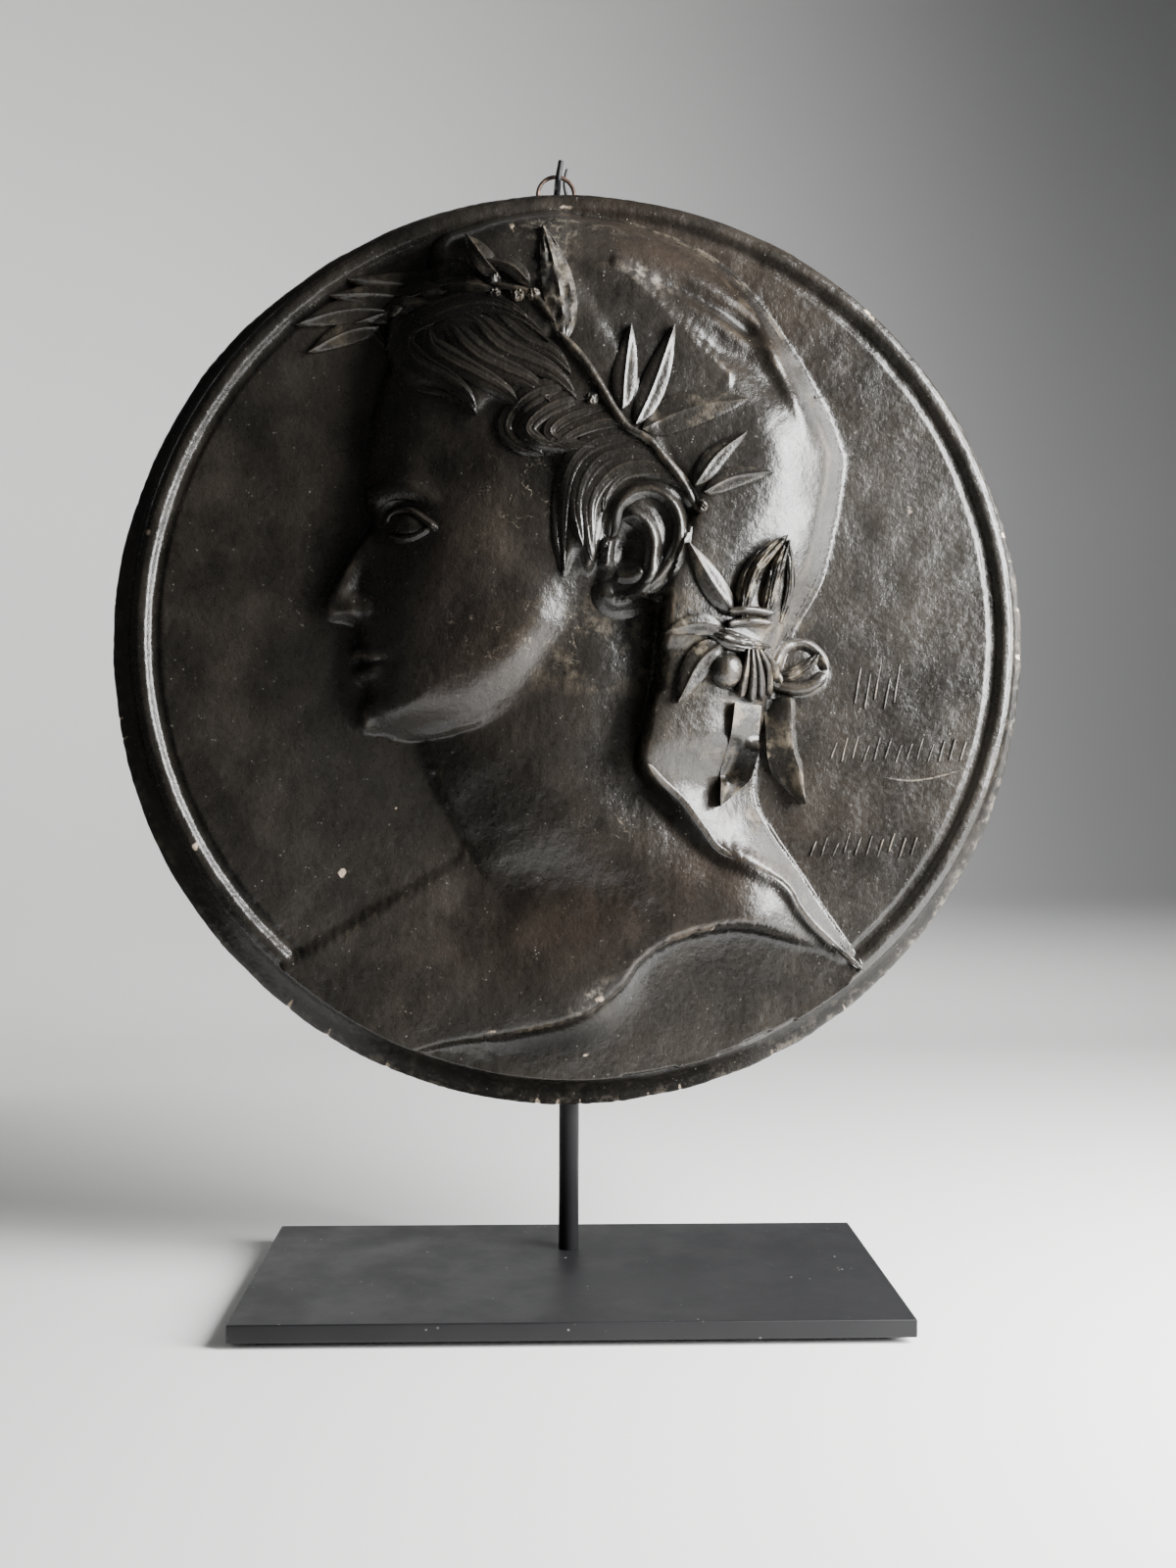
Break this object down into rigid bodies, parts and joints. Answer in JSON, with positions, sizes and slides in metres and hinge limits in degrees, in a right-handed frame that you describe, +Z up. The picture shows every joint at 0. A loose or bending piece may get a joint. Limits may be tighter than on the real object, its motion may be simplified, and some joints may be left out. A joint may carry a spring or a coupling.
{
  "type": "relief plaque on a display stand",
  "caption": "Round cast relief plaque with a capped, laurelled head in profile, hung by a wire loop on a hooked rod that stands on a flat steel plate.",
  "frame": {"origin": "on the floor under the middle of the base plate, at the undersides of the foot pads", "axes": "+Z up, +X to the viewer's right, +Y away from the viewer; the relief faces -Y"},
  "size_m": [0.45, 0.15, 0.5512],
  "materials": {
    "patinated_plaster": "waxed dark brown patina, semi-gloss, worn",
    "rusty_wire": "rusted wire",
    "black_steel": "satin black paint",
    "black_rubber": "matt"
  },
  "bodies": {
    "root": {"medallion": "patinated_plaster", "hanging_ring": "rusty_wire", "stand_hook": "black_steel", "stand_rod": "black_steel", "base_plate": "black_steel", "foot_pad_front_left": "black_rubber", "foot_pad_front_right": "black_rubber", "foot_pad_back_left": "black_rubber", "foot_pad_back_right": "black_rubber"}
  },
  "joints": []
}
